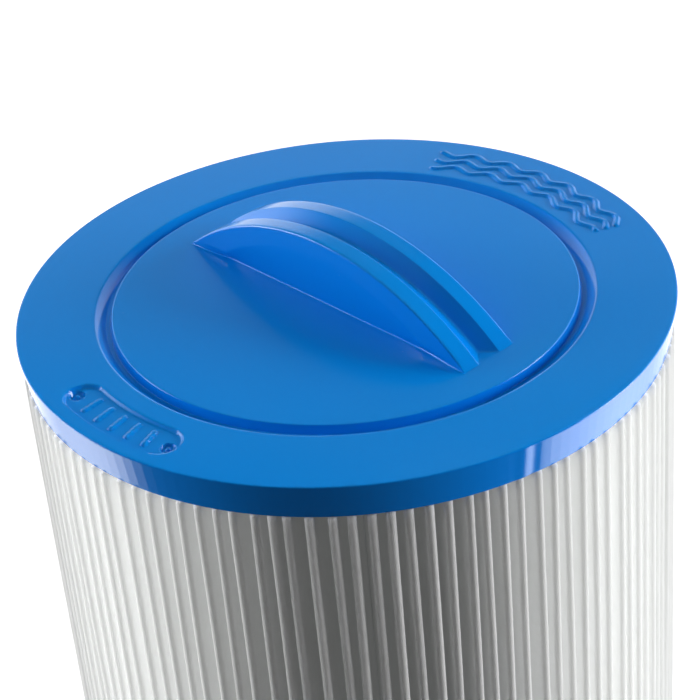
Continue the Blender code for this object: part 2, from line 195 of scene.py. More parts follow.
# Light that comes through the folds, by the angle from the camera's azimuth.
THROUGH_LIGHT_ANGLES = (math.radians(12), math.radians(55))
THROUGH_LIGHT = (0.02, 0.23)
THROUGH_LIGHT_END = (math.radians(60), math.radians(92), 1.0, 0.08)
# Soft lights for the matt part of the shading: azimuth from the camera, elevation,
# size, and light on a surface that faces it. The second group lights the plastic only,
# because the white sheet would burn out.
SOFT_LIGHTS = (
    (math.radians(87), math.radians(8), math.radians(42), 0.75),
    (math.radians(-102), math.radians(4), math.radians(34), 0.5),
    (math.radians(-92), math.radians(42), math.radians(50), 0.30),
    (math.radians(166), math.radians(39), math.radians(26), 0.21),
    (math.radians(180), math.radians(28), math.radians(100), 0.15),
    (math.radians(180), math.radians(4), math.radians(60), 0.30),
    (math.radians(0), math.radians(65), math.radians(110), 0.05),
    (math.radians(0), math.radians(-88), math.radians(60), 0.20),
)
PLASTIC_LIGHTS = (
    (math.radians(87), math.radians(8), math.radians(42), 0.60),
    (math.radians(-102), math.radians(4), math.radians(34), 0.25),
)
FLOOR_RADIUS = 6.0
FLOOR_GAP = 0.2 * MM
FLOOR_GLOW = 0.55


# ---- mesh helpers -------------------------------------------------------------------
def smoothstep(low, high, value):
    share = np.clip((value - low) / (high - low), 0.0, 1.0)
    return share * share * (3.0 - 2.0 * share)


def inside(distance, edge):
    """1 inside an outline, 0 outside it, with a soft edge. The distance is signed."""
    return 1.0 - smoothstep(-edge / 2, edge / 2, distance)


def new_piece(name, vertices, faces):
    mesh = bpy.data.meshes.new(name)
    mesh.from_pydata([tuple(v) for v in vertices], [], faces)
    mesh.validate()
    obj = bpy.data.objects.new(name, mesh)
    bpy.context.scene.collection.objects.link(obj)
    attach(obj, ROOT)
    return obj


def smooth(obj, degrees):
    obj.data.shade_smooth()
    obj.data.set_sharp_from_angle(angle=math.radians(degrees))


def corner_arc(before, corner, after, steps):
    """Points of the arc that rounds an (r, z, radius) corner between its neighbours."""
    r, z, radius = corner
    if radius <= 0.0:
        return [(r, z)]
    here = Vector((r, z))
    back = Vector(before[:2]) - here
    ahead = Vector(after[:2]) - here
    half = back.angle(ahead) / 2
    reach = min(radius / math.tan(half), back.length * 0.45, ahead.length * 0.45)
    radius = reach * math.tan(half)
    back.normalize()
    ahead.normalize()
    centre = here + (back + ahead).normalized() * (radius / math.sin(half))
    start = here + back * reach - centre
    end = here + ahead * reach - centre
    points = []
    for k in range(steps + 1):
        spoke = start.lerp(end, k / steps).normalized() * radius
        points.append(tuple(centre + spoke))
    return points


def rounded(corners, steps):
    """Round the inner corners of an open (r, z, radius) profile."""
    points = [corners[0][:2]]
    for before, corner, after in zip(corners, corners[1:], corners[2:]):
        points += corner_arc(before, corner, after, steps)
    points.append(corners[-1][:2])
    return points


def rounded_loop(corners, steps):
    """Round every corner of a closed (r, z, radius) profile."""
    points = []
    for i, corner in enumerate(corners):
        before = corners[i - 1]
        after = corners[(i + 1) % len(corners)]
        points += corner_arc(before, corner, after, steps)
    return points


def lap(rows, angles, height=None):
    """Vertices and quads of a surface turned about Z from (r, z) rows."""
    rows = np.array(rows)
    angles = np.array(angles)
    radius = np.repeat(rows[:, 0:1], len(angles), axis=1)
    level = np.repeat(rows[:, 1:2], len(angles), axis=1)
    if height is not None:
        level = level + height(radius, np.repeat(angles[None, :], len(rows), axis=0))
    x = radius * np.cos(angles)[None, :]
    y = radius * np.sin(angles)[None, :]
    vertices = np.stack([x, y, level], axis=2).reshape(-1, 3)
    faces = []
    count = len(angles)
    for i in range(len(rows) - 1):
        for j in range(count):
            k = (j + 1) % count
            a, b = i * count + j, i * count + k
            faces.append((a, a + count, b + count, b))
    return vertices, faces


def even_angles(count):
    return [2 * math.pi * i / count for i in range(count)]


def mark_angles():
    """Angles round the rim, close together where it carries marks."""
    fine = [
        (WAVE_MIDDLE - WAVE_HALF_ANGLE * 1.1, WAVE_MIDDLE + WAVE_HALF_ANGLE * 1.1),
        (POCKET_MIDDLE + 2 * math.pi - POCKET_REACH, POCKET_MIDDLE + 2 * math.pi + POCKET_REACH),
        (GATE_ANGLE + 2 * math.pi - GATE_HALF_ANGLE, GATE_ANGLE + 2 * math.pi + GATE_HALF_ANGLE),
    ]
    angles = []
    for k in range(360 * FINE_LAPS):
        angle = math.radians(k / FINE_LAPS)
        close = any(low <= angle <= high for low, high in fine)
        if close or k % FINE_LAPS == 0:
            angles.append(angle)
    return angles


def weld(obj):
    """Join the points that meet and turn every face outwards."""
    shape = bmesh.new()
    shape.from_mesh(obj.data)
    bmesh.ops.remove_doubles(shape, verts=shape.verts, dist=1e-6)
    bmesh.ops.dissolve_degenerate(shape, edges=shape.edges, dist=1e-7)
    bmesh.ops.recalc_face_normals(shape, faces=shape.faces)
    shape.to_mesh(obj.data)
    shape.free()


def turned_loop(name, corners, steps, count):
    """A ring-shaped body turned from a closed profile with rounded corners."""
    rows = rounded_loop(corners, steps)
    vertices, faces = lap(rows + rows[:1], even_angles(count))
    obj = new_piece(name, vertices, faces)
    weld(obj)
    smooth(obj, 40)
    return obj


# ---- rim marks ----------------------------------------------------------------------
def wrapped(angle):
    return (angle + math.pi) % (2 * math.pi) - math.pi


def arc_distance(radius, angle, middle, half_angle, arc_radius):
    """Distance in the rim's plane from points to a circular arc."""
    turn = wrapped(angle - middle)
    nearest = np.clip(turn, -half_angle, half_angle)
    across = radius * np.cos(turn - nearest) - arc_radius
    along = radius * np.sin(turn - nearest)
    return np.hypot(across, along)


def wave_rise(radius, angle):
    """Three raised wavy lines, a plain water mark, along the back of the rim."""
    turn = wrapped(angle - WAVE_MIDDLE)
    nearest = np.clip(turn, -WAVE_HALF_ANGLE, WAVE_HALF_ANGLE)
    rise = np.zeros_like(radius)
    for wave_radius in WAVE_RADII:
        phase = 2 * math.pi * nearest * wave_radius / WAVE_LENGTH
        line = wave_radius + WAVE_AMPLITUDE * np.sin(phase)
        slope = WAVE_AMPLITUDE * 2 * math.pi / WAVE_LENGTH * np.cos(phase)
        across = (radius - line) / np.sqrt(1.0 + slope * slope)
        along = (turn - nearest) * wave_radius
        distance = np.hypot(across, along) - WAVE_STROKE / 2
        rise = np.maximum(rise, WAVE_RISE * inside(distance, MARK_RAMP))
    return rise


def pocket_sink(radius, angle):
    """Arc-shaped pocket with five plain ticks and a pin mark at each end."""
    distance = arc_distance(radius, angle, POCKET_MIDDLE, POCKET_HALF_ANGLE, POCKET_RADIUS)
    level = -POCKET_DEPTH * inside(distance - POCKET_HALF_WIDTH, 2 * MARK_RAMP)
    turn = wrapped(angle - POCKET_MIDDLE)
    x = radius * np.sin(turn)
    y = radius * np.cos(turn)
    for i in range(TICK_COUNT):
        tick = (i - (TICK_COUNT - 1) / 2) * TICK_STEP
        tick_x = POCKET_RADIUS * math.sin(tick)
        tick_y = POCKET_RADIUS * math.cos(tick)
        lean = tick + TICK_LEAN
        along = (x - tick_x) * math.sin(lean) + (y - tick_y) * math.cos(lean)
        across = (x - tick_x) * math.cos(lean) - (y - tick_y) * math.sin(lean)
        beyond = np.abs(along) - np.clip(np.abs(along), 0.0, TICK_HALF_LENGTH)
        distance = np.hypot(across, beyond) - TICK_STROKE / 2
        level = level + TICK_RISE * inside(distance, MARK_RAMP)
    for side in (-1, 1):
        pin_x = PIN_RADIUS * math.sin(side * PIN_ANGLE)
        pin_y = PIN_RADIUS * math.cos(side * PIN_ANGLE)
        distance = np.hypot(x - pin_x, y - pin_y)
        level = level - PIN_DEPTH * inside(distance - PIN_SIZE, MARK_RAMP)
        level = level + PIN_DEPTH * inside(distance - PIN_NUB, 2 * MARK_RAMP)
    return level


def rim_marks(radius, angle):
    """Height of the rim's top face over its plane."""
    on_rim = (radius > RING_INNER) & (radius < RING_OUTER)
    marks = wave_rise(radius, angle) + pocket_sink(radius, angle)
    return np.where(on_rim, marks, 0.0)


# ---- top end cap --------------------------------------------------------------------
def groove_corners(face, direction):
    """Groove profile from the inner edge outwards. The direction is -1 on the top face."""
    floor = face + direction * GROOVE_DEPTH
    return [
        (GROOVE_INNER, face, 0.35 * MM),
        (GROOVE_INNER + 0.6 * MM, floor, 0.25 * MM),
        (GROOVE_INNER + 1.6 * MM, floor, 0.6 * MM),
        (GROOVE_OUTER, face, 0.9 * MM),
    ]


def facet(angle):
    """Share of the radius left by the flat facets of the moulded skirt."""
    step = 2 * math.pi / SKIRT_FACETS
    return math.cos(step / 2) / np.cos(angle % step - step / 2)


def gate_swell(angle):
    """Witness of the gate on the skirt: a low swelling with a dip beside it."""
    along = wrapped(angle - GATE_ANGLE) * CAP_RADIUS / GATE_REACH
    return -GATE_SWELL * along * np.exp(0.5 - along * along / 2)


def ring_rows(face):
    count = round((RING_OUTER - RING_INNER) / RING_STEP)
    return [(RING_INNER + (RING_OUTER - RING_INNER) * i / count, face) for i in range(count + 1)]


def cap_outside_rows(face, direction):
    """Rows from the groove over the rim and the skirt to the skirt's foot."""
    foot = face + direction * SKIRT_HEIGHT
    groove = rounded([(GROOVE_INNER - 1 * MM, face, 0.0)] + groove_corners(face, direction)
                     + [(RING_INNER, face, 0.0)], CORNER_STEPS)[1:-1]
    rim = rounded([(RING_OUTER, face, 0.0), (CAP_RADIUS, face, 0.55 * MM),
                   (SKIRT_FOOT_RADIUS, foot, 0.3 * MM),
                   (SKIRT_INNER_RADIUS, foot, 0.2 * MM),
                   (SKIRT_INNER_RADIUS, face + direction * CAP_PLATE, 0.0)], CORNER_STEPS)[1:]
    return groove, rim


def arch(x, half_length, height):
    """Level of a circular arc of the given chord and height, 0 beyond its ends."""
    radius = (half_length ** 2 + height ** 2) / (2 * height)
    level = math.sqrt(max(radius * radius - x * x, 0.0)) - (radius - height)
    return max(level, 0.0)


def scoop_depth(x, z):
    """How far the finger recess sets the handle's outer face back, most at its foot."""
    foot = SCOOP_DEPTH * (1.0 - float(smoothstep(SCOOP_HALF_LENGTH - 5 * MM, SCOOP_TIP, abs(x))))
    height = max(arch(x, SCOOP_HALF_LENGTH, SCOOP_HEIGHT), SCOOP_TIP_HEIGHT)
    return foot * max(1.0 - z / height, 0.0) ** 1.3


def foot_width(x):
    """Half the handle's width where it meets the cap, over its fillets."""
    rise = arch(x, HANDLE_HALF_LENGTH, HANDLE_HEIGHT)
    return HANDLE_SIDE - scoop_depth(x, 0.0) + min(FOOT_FILLET, 0.3 * rise)


def vee_rows():
    """(y, drop) points of half the groove, from the flat of the crest to its bottom."""
    corners = [(HANDLE_SIDE, 0.0, 0.0), (VEE_HALF_WIDTH, 0.0, VEE_EDGE),
               (0.0, -VEE_DEPTH, VEE_ROUND), (-VEE_HALF_WIDTH, 0.0, 0.0)]
    half = [point for point in rounded(corners, 6) if point[0] > -1e-7][1:]
    edge, bottom = half[6], half[7]
    steps = 10
    side = [(edge[0] + (bottom[0] - edge[0]) * k / steps,
             edge[1] + (bottom[1] - edge[1]) * k / steps) for k in range(1, steps)]
    return half[:7] + side + half[7:]


def handle_section(x):
    """(y, z) points across the handle at x, from its outer foot to its middle."""
    crest = arch(x, HANDLE_HALF_LENGTH, HANDLE_HEIGHT)
    foot = min(FOOT_FILLET, 0.3 * crest)
    edge = min(CREST_EDGE, 0.3 * crest)
    top = crest - edge

    def arc(centre_y, centre_z, radius, start, end, steps):
        spokes = [start + (end - start) * k / steps for k in range(steps + 1)]
        return [(centre_y + radius * math.cos(s), centre_z + radius * math.sin(s)) for s in spokes]

    def face(z):
        return HANDLE_SIDE - scoop_depth(x, z) - z * HANDLE_DRAFT

    quarter = math.pi / 2
    points = arc(foot_width(x), foot, foot, -quarter, -2 * quarter, 5)
    for k in range(1, WALL_STEPS):
        z = foot + (top - foot) * k / WALL_STEPS
        points.append((face(z), z))
    points += arc(face(top) - edge, top, edge, 0.0, quarter, 6)
    inner_edge = VEE_ROWS[0][0]
    flat_start = points[-1][0]
    for k in range(1, 4):
        points.append((flat_start + (inner_edge - flat_start) * k / 4, crest))
    softness = min(0.12 * MM, 0.3 * crest)
    for y, drop in VEE_ROWS:
        level = crest + drop
        points.append((y, (level + math.hypot(level, softness)) / 2))
    return points


VEE_ROWS = vee_rows()


def handle_stations():
    """Places along X, closer together towards the handle's ends."""
    turns = [math.pi * i / HANDLE_STATIONS for i in range(HANDLE_STATIONS + 1)]
    return [-HANDLE_HALF_LENGTH * math.cos(turn) for turn in turns]


def handle_grid():
    """Vertices of the handle's skin, one row for each station."""
    rows = []
    for x in handle_stations():
        half = handle_section(x)
        across = [(-y, z) for y, z in half] + [(y, z) for y, z in reversed(half[:-1])]
        rows.append([(x, y, TOP_FACE + z) for y, z in across])
    return rows


def disc_faces(vertices, outer_loop, inner_loop):
    """Flat faces between two loops that lie in the cap's top face."""
    loops = outer_loop + inner_loop
    flat = [Vector(vertices[i][:2]) for i in loops]
    count = len(outer_loop)
    edges = [(i, (i + 1) % count) for i in range(count)]
    inner_count = len(inner_loop)
    edges += [(count + i, count + (i + 1) % inner_count) for i in range(inner_count)]
    points, _, faces, origin, _, _ = delaunay_2d_cdt(flat, edges, [], 0, 1e-9)
    handle = [flat[count + i] for i in range(inner_count)]
    low_x, high_x = min(p.x for p in handle), max(p.x for p in handle)
    kept = []
    for face in faces:
        centre = sum((points[i] for i in face), Vector((0.0, 0.0))) / len(face)
        on_handle = low_x < centre.x < high_x and abs(centre.y) < foot_width(centre.x) - 1e-5
        if not on_handle:
            kept.append([loops[origin[i][0]] for i in face])
    return kept


def make_top_end_cap():
    """Cap with its marks, groove, faceted skirt and handle, in one skin."""
    angles = mark_angles()
    count = len(angles)
    groove, rim = cap_outside_rows(TOP_FACE, -1)
    plate = TOP_FACE - CAP_PLATE
    ring_foot = TOP_FACE - LOCATING_RING_FOOT
    inside_rows = [
        (LOCATING_RING[0], plate), (LOCATING_RING[0], ring_foot),
        (LOCATING_RING[1], ring_foot), (LOCATING_RING[1], plate), (1 * MM, plate),
    ]
    rows = groove + ring_rows(TOP_FACE) + rim + inside_rows
    skirt_start = len(groove) + len(ring_rows(TOP_FACE)) + CORNER_STEPS

    vertices, faces = lap(rows, angles, rim_marks)
    vertices = vertices.reshape(len(rows), count, 3)
    turned = np.array(angles)
    for i in range(skirt_start, skirt_start + CORNER_STEPS + 3):
        vertices[i, :, :2] *= facet(turned)[:, None]
        vertices[i, :, :2] *= 1.0 + gate_swell(turned)[:, None] / CAP_RADIUS
    vertices = [tuple(v) for v in vertices.reshape(-1, 3)]
    last = (len(rows) - 1) * count
    faces.append([last + j for j in range(count)])

    grid = handle_grid()
    base = len(vertices)
    width = len(grid[0])
    for row in grid:
        vertices += row
    for i in range(len(grid) - 1):
        for j in range(width - 1):
            a = base + i * width + j
            faces.append((a, a + width, a + width + 1, a + 1))
    loop = [base + i * width for i in range(len(grid))]
    loop += [base + (len(grid) - 1) * width + j for j in range(1, width)]
    loop += [base + i * width + width - 1 for i in range(len(grid) - 2, -1, -1)]
    loop += [base + j for j in range(width - 2, 0, -1)]
    faces += disc_faces(vertices, list(range(count)), loop)
    cap = new_piece("top_cap_moulding", vertices, faces)
    weld(cap)
    smooth(cap, 40)
    for face in cap.data.polygons:
        level = face.center.z
        reach = face.center.xy.length
        on_plate = abs(level - TOP_FACE) < 1e-7 and reach < GROOVE_INNER
        on_skirt = abs(TOP_FACE - SKIRT_HEIGHT / 2 - level) < SKIRT_HEIGHT / 4
        if on_plate or on_skirt and reach > SKIRT_FOOT_RADIUS:
            face.use_smooth = False
    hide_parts("top_end_cap")
    return cap


# ---- bottom end cap and spigot ------------------------------------------------------
def make_bottom_end_cap():
    """Ring with the same rim and groove, and a hole for the spigot."""
    hole = NECK_RADIUS + 0.35 * MM
    foot = BOTTOM_FACE + SKIRT_HEIGHT
    plate = BOTTOM_FACE + CAP_PLATE
    corners = [
        (SKIRT_INNER_RADIUS, foot, 0.2 * MM),
        (SKIRT_FOOT_RADIUS, foot, 0.3 * MM),
        (CAP_RADIUS, BOTTOM_FACE, 0.55 * MM),
        (RING_INNER, BOTTOM_FACE, 0.0),
    ]
    corners += list(reversed(groove_corners(BOTTOM_FACE, 1)))
    corners += [
        (hole, BOTTOM_FACE, 0.4 * MM),
        (hole, plate, 0.2 * MM),
        (SKIRT_INNER_RADIUS, plate, 0.3 * MM),
    ]
    cap = turned_loop("bottom_cap_moulding", corners, CORNER_STEPS, 360)
    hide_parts("bottom_end_cap")
    return cap


def thread_share(angle, level):
    """Share of the full thread depth, with rounded crests and a run-out at each end."""
    turns = angle / (2 * math.pi)
    phase = level / THREAD_PITCH - turns
    crest = 0.5 + 0.5 * np.cos(2 * math.pi * phase)
    shaped = smoothstep(0.12, 0.72, crest)
    start = smoothstep(THREAD_START, THREAD_START + THREAD_RUNOUT, level)
    end = 1.0 - smoothstep(THREAD_END - THREAD_RUNOUT, THREAD_END, level)
    return shaped * start * end


def make_spigot():
    """Outlet tube with its flange, neck, locating ring and external thread."""
    minor = THREAD_CREST - THREAD_DEPTH
    flange_low = BOTTOM_FACE + CAP_PLATE + 0.3 * MM
    flange_top = SPIGOT_HIGH[2] - LOCATING_RING_RISE
    upper = rounded([
        (BORE_RADIUS, SPIGOT_HIGH[2] - 1 * MM, 0.0),
        (BORE_RADIUS, SPIGOT_HIGH[2], 0.4 * MM),
        (LOCATING_RING[0], SPIGOT_HIGH[2], 0.4 * MM),
        (LOCATING_RING[0], flange_top, 0.2 * MM),
        (SPIGOT_HIGH[0], flange_top, 0.4 * MM),
        (SPIGOT_HIGH[0], flange_low, 0.4 * MM),
        (NECK_RADIUS, flange_low, 0.0),
        (NECK_RADIUS, THREAD_END + 2.2 * MM, 0.5 * MM),
        (minor, THREAD_END + 1.2 * MM, 0.5 * MM),
        (minor, THREAD_END, 0.0),
    ], 4)
    count = round((THREAD_END - THREAD_START) / THREAD_ROW)
    threaded = [(minor, THREAD_END - (THREAD_END - THREAD_START) * i / count)
                for i in range(1, count)]
    lower = rounded([
        (minor, THREAD_START, 0.0),
        (minor, 0.0, 0.8 * MM),
        (BORE_RADIUS, 0.0, 0.5 * MM),
        (BORE_RADIUS, 1 * MM, 0.0),
    ], 4)
    rows = upper + threaded + lower + [upper[0]]
    angles = even_angles(240)
    vertices, faces = lap(rows, angles)
    vertices = vertices.reshape(len(rows), len(angles), 3)
    turned = np.array(angles)
    for i in range(len(upper), len(upper) + len(threaded)):
        raised = minor + THREAD_DEPTH * thread_share(turned, rows[i][1])
        vertices[i, :, 0] = raised * np.cos(turned)
        vertices[i, :, 1] = raised * np.sin(turned)
    spigot = new_piece("outlet_spigot", vertices.reshape(-1, 3), faces)
    weld(spigot)
    smooth(spigot, 40)
    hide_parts("threaded_spigot")
    return spigot


# ---- pleats -------------------------------------------------------------------------
def media_levels():
    """Heights of the pleats' rows, close together where they leave the end caps."""
    low, high = MEDIA_LOW[2], MEDIA_HIGH[2]
    skirt_low = BOTTOM_FACE + SKIRT_HEIGHT
    skirt_high = TOP_FACE - SKIRT_HEIGHT
    steps = (-PLEAT_FLARE, 0.0, PLEAT_FLARE, 3 * MM, 7 * MM, 13 * MM, 21 * MM)
    middle_count = 13
    middle_low, middle_high = low + 30 * MM, high - 30 * MM
    levels = [low] + [skirt_low + step for step in steps]
    levels += [middle_low + (middle_high - middle_low) * i / middle_count
               for i in range(middle_count + 1)]
    levels += [skirt_high - step for step in reversed(steps)] + [high]
    return np.array(levels)


def slow_noise(rng, levels, amplitude, waves):
    """A smooth random curve along the height."""
    total = np.zeros_like(levels)
    span = MEDIA_HIGH[2] - MEDIA_LOW[2]
    for wave in range(1, waves + 1):
        phase = rng.uniform(0.0, 2 * math.pi)
        strength = rng.uniform(0.4, 1.0) / wave
        total += strength * np.sin(math.pi * wave * (levels - MEDIA_LOW[2]) / span + phase)
    return amplitude * total


def pleat_section(tip_angle, root_before, root_after, tip_radius, bow):
    """One pleat's mid-line at one height, from just after one root to the next root."""
    points = []
    root_radius = PLEAT_ROOT_RADIUS
    tip_centre = tip_radius - TIP_FOLD
    half_tip = TIP_FOLD / tip_centre
    half_root = ROOT_FOLD / root_radius

    def wall_point(share, root_angle, end_angle):
        radius = root_radius + ROOT_FOLD + (tip_centre - root_radius - ROOT_FOLD) * share
        angle = root_angle + (end_angle - root_angle) * radius_share(share, root_radius, tip_centre)
        return radius, angle + bow * math.sin(math.pi * share) / radius

    for k in range(1, WALL_COLUMNS + 1):
        share = k / (WALL_COLUMNS + 1)
        points.append(wall_point(share, root_before + half_root, tip_angle - half_tip))
    for k in range(TIP_COLUMNS + 1):
        turn = -math.pi / 2 + math.pi * k / TIP_COLUMNS
        radius = tip_centre + TIP_FOLD * math.cos(turn)
        points.append((radius, tip_angle + TIP_FOLD * math.sin(turn) / tip_centre))
    for k in range(1, WALL_COLUMNS + 1):
        share = 1.0 - k / (WALL_COLUMNS + 1)
        points.append(wall_point(share, root_after - half_root, tip_angle + half_tip))
    for k in range(ROOT_COLUMNS + 1):
        turn = -math.pi / 2 + math.pi * k / ROOT_COLUMNS
        radius = root_radius + ROOT_FOLD - ROOT_FOLD * math.cos(turn)
        points.append((radius, root_after + ROOT_FOLD * math.sin(turn) / root_radius))
    return points


def radius_share(share, root_radius, tip_radius):
    """Turns a share of the radius into a share of the angle of a straight wall."""
    radius = root_radius + (tip_radius - root_radius) * share
    return share * tip_radius / radius


def make_pleats():
    """The folded sheet, each pleat a little uneven, with its tips out between the caps."""
    rng = random.Random(PLEAT_SEED)
    levels = media_levels()
    step = 2 * math.pi / PLEAT_COUNT
    skirt_low = BOTTOM_FACE + SKIRT_HEIGHT
    skirt_high = TOP_FACE - SKIRT_HEIGHT
    out_low = smoothstep(skirt_low - PLEAT_FLARE, skirt_low + PLEAT_FLARE, levels)
    out_high = 1.0 - smoothstep(skirt_high - PLEAT_FLARE, skirt_high + PLEAT_FLARE, levels)
    out = out_low * out_high
    tips, radii, bows, roots = [], [], [], []
    for i in range(PLEAT_COUNT):
        shift = rng.gauss(0.0, TIP_SCATTER)
        lean = slow_noise(rng, levels, TIP_WANDER, 3)
        tips.append(i * step + (shift + lean * out) / PLEAT_RADIUS)
        reach = rng.uniform(-RADIUS_SCATTER, 0.0) + slow_noise(rng, levels, RADIUS_WANDER, 2)
        radii.append(PLEAT_END_RADIUS + (PLEAT_RADIUS + reach - PLEAT_END_RADIUS) * out)
        bows.append(slow_noise(rng, levels, BOW, 2) + rng.gauss(0.0, BOW / 2))
        roots.append((i + 0.5) * step + np.full_like(levels, rng.gauss(0.0, ROOT_SCATTER)))
    vertices = []
    for row, level in enumerate(levels):
        for i in range(PLEAT_COUNT):
            before = roots[i - 1][row] - (2 * math.pi if i == 0 else 0.0)
            section = pleat_section(tips[i][row], before, roots[i][row], radii[i][row], bows[i][row])
            for radius, angle in section:
                vertices.append((radius * math.cos(angle), radius * math.sin(angle), level))
    columns = len(vertices) // len(levels)
    faces = []
    for row in range(len(levels) - 1):
        for j in range(columns):
            k = (j + 1) % columns
            a, b = row * columns + j, row * columns + k
            faces.append((a, b, b + columns, a + columns))
    media = new_piece("pleated_sheet", vertices, faces)
    media.data.shade_smooth()
    thickness = media.modifiers.new("sheet", "SOLIDIFY")
    thickness.thickness = SHEET
    thickness.offset = 0.0
    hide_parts("pleated_media")
    return media


# ---- material helpers ---------------------------------------------------------------
def new_material(name):
    """A material with a Principled shader, its node tree and its object coordinates."""
    material = bpy.data.materials.new(name)
    material.use_nodes = True
    tree = material.node_tree
    shader = tree.nodes["Principled BSDF"]
    place = tree.nodes.new("ShaderNodeTexCoord").outputs["Object"]
    return material, tree, shader, place


def node(tree, kind, inputs, **settings):
    """Add a node. The inputs map socket names or numbers to values or output sockets."""
    new = tree.nodes.new(kind)
    for key, value in settings.items():
        setattr(new, key, value)
    for key, value in inputs.items():
        socket = new.inputs[key]
        if isinstance(value, bpy.types.NodeSocket):
            tree.links.new(value, socket)
        else:
            socket.default_value = value
    return new


def calc(tree, operation, *values, clamp=False):
    """Output of a Math node."""
    inputs = dict(enumerate(values))
    return node(tree, "ShaderNodeMath", inputs, operation=operation, use_clamp=clamp).outputs[0]


def ramp(tree, value, low, high, to_low, to_high, soft=True):
    """Output of a Map Range node that goes from to_low at low to to_high at high."""
    style = "SMOOTHSTEP" if soft else "LINEAR"
    inputs = {"Value": value, "From Min": low, "From Max": high, "To Min": to_low, "To Max": to_high}
    return node(tree, "ShaderNodeMapRange", inputs, interpolation_type=style).outputs["Result"]


def noise(tree, place, grain, detail, roughness=0.5):
    """Noise from 0 to 1 whose features are about one grain long."""
    inputs = {"Vector": place, "Scale": 1.0 / grain, "Detail": detail, "Roughness": roughness}
    return node(tree, "ShaderNodeTexNoise", inputs).outputs["Fac"]


def stretched(tree, place, turn, stretch):
    """Coordinates turned and squeezed, so that a texture on them is drawn out."""
    inputs = {"Vector": place, "Rotation": turn, "Scale": stretch}
    return node(tree, "ShaderNodeMapping", inputs).outputs["Vector"]


def blend(tree, share, first, second):
    """Mix of two colours."""
    new = tree.nodes.new("ShaderNodeMix")
    new.data_type = "RGBA"
    for socket, value in ((new.inputs[0], share), (new.inputs[6], first), (new.inputs[7], second)):
        if isinstance(value, bpy.types.NodeSocket):
            tree.links.new(value, socket)
        elif socket == new.inputs[0]:
            socket.default_value = value
        else:
            socket.default_value = (*value, 1.0)
    return new.outputs[2]


def bump(tree, height, depth, below=None):
    """Normal of a bump whose height is the depth, in metres."""
    inputs = {"Height": height, "Distance": depth, "Strength": 1.0}
    if below is not None:
        inputs["Normal"] = below
    return node(tree, "ShaderNodeBump", inputs).outputs["Normal"]


# ---- materials ----------------------------------------------------------------------
def moulded_plastic(name, colour, shaded_side_colour, gloss, scuff):
    """Glossy moulded ABS: faint flow tone, a painted shade tint on faces that turn sideways, fine grain,
    hairline scratches and dust.
    """
    material, tree, shader, place = new_material(name)
    flow = ramp(tree, noise(tree, place, 60 * MM, 1.0), 0.0, 1.0, -0.1, 0.1)
    # Painted shade: the more a face turns away from straight up, the more of the shaded side colour it
    # takes. The flow tone is the plastic's own.
    normal = tree.nodes.new("ShaderNodeNewGeometry").outputs["Normal"]
    upright = node(tree, "ShaderNodeSeparateXYZ", {"Vector": normal}).outputs[2]
    shaded_side_and_flow = calc(tree, "ADD", ramp(tree, upright, 0.4, 0.9, 0.1, 0.9), flow)
    tone = blend(tree, shaded_side_and_flow, shaded_side_colour, colour)
    hair_along = stretched(tree, place, (0.0, 0.0, 0.6), (25.0, 900.0, 900.0))
    hair_across = stretched(tree, place, (0.0, 0.0, -1.1), (25.0, 900.0, 900.0))
    hair = calc(tree, "MAXIMUM",
                ramp(tree, noise(tree, hair_along, 1.0, 2.0), 0.75, 0.82, 0.0, 1.0),
                ramp(tree, noise(tree, hair_across, 1.0, 2.0), 0.76, 0.82, 0.0, 1.0))
    patch = ramp(tree, noise(tree, place, 16 * MM, 3.0), 0.52, 0.74, 0.0, 1.0)
    scratches = calc(tree, "MULTIPLY", hair, patch)
    cells = node(tree, "ShaderNodeTexVoronoi", {"Vector": place, "Scale": 420.0})
    speck = ramp(tree, cells.outputs["Distance"], 0.05, 0.09, 1.0, 0.0)
    pick = node(tree, "ShaderNodeSeparateColor", {"Color": cells.outputs["Color"]}).outputs[0]
    dust = calc(tree, "MULTIPLY", speck, ramp(tree, pick, 0.97, 0.98, 0.0, 1.0))
    marks = calc(tree, "MULTIPLY", calc(tree, "MAXIMUM", scratches, dust), scuff)
    light = tuple(0.8 * c + 0.12 for c in colour)
    tree.links.new(blend(tree, marks, tone, light), shader.inputs["Base Color"])
    cloud = ramp(tree, noise(tree, place, 30 * MM, 3.0), 0.3, 0.7, gloss - 0.01, gloss + 0.02)
    tree.links.new(calc(tree, "ADD", cloud, calc(tree, "MULTIPLY", marks, 0.4)),
                   shader.inputs["Roughness"])
    shader.inputs["IOR"].default_value = 1.5
    shader.inputs["Specular IOR Level"].default_value = 0.42
    grain = bump(tree, noise(tree, place, 0.5 * MM, 2.0), 0.0012 * MM)
    sink = bump(tree, noise(tree, place, 22 * MM, 1.0), 0.006 * MM, grain)
    tree.links.new(sink, shader.inputs["Normal"])
    return material


